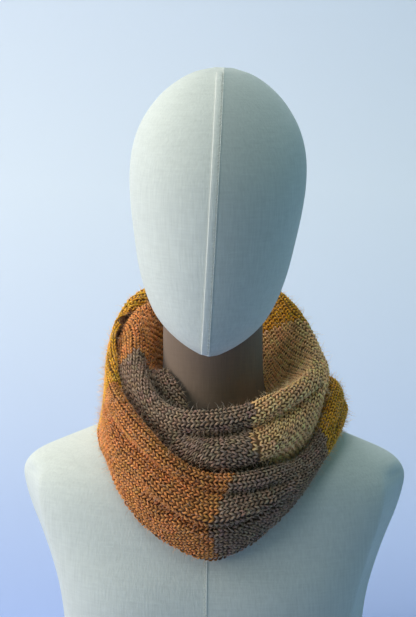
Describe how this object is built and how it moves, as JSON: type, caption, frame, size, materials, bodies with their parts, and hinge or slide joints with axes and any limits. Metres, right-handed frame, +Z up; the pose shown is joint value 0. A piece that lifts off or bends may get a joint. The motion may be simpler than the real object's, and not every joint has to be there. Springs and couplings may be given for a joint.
{
  "type": "infinity scarf on a limbless dress form",
  "caption": "Knitted ring scarf in wide colour blocks, wound twice round the neck of a limbless linen dress form with a plain egg-shaped head.",
  "frame": {"origin": "middle of the form's flat base, below the neck's axis", "axes": "+Z up along the neck's axis, the form faces -Y, +X is to the right of someone who looks at its front"},
  "size_m": [0.3514, 0.2463, 0.5613],
  "materials": {
    "linen": "plain woven linen stretched over a smooth form, matt",
    "knit": "brushed wool and mohair stocking stitch in golden yellow, orange-tan, taupe and cream blocks, with a soft halo of fibres"
  },
  "bodies": {
    "root": {"form_torso": "linen", "form_neck": "linen", "form_head": "linen", "upper_wrap": "knit", "crossing_over": "knit", "lower_wrap": "knit", "crossing_under": "knit"}
  },
  "joints": []
}
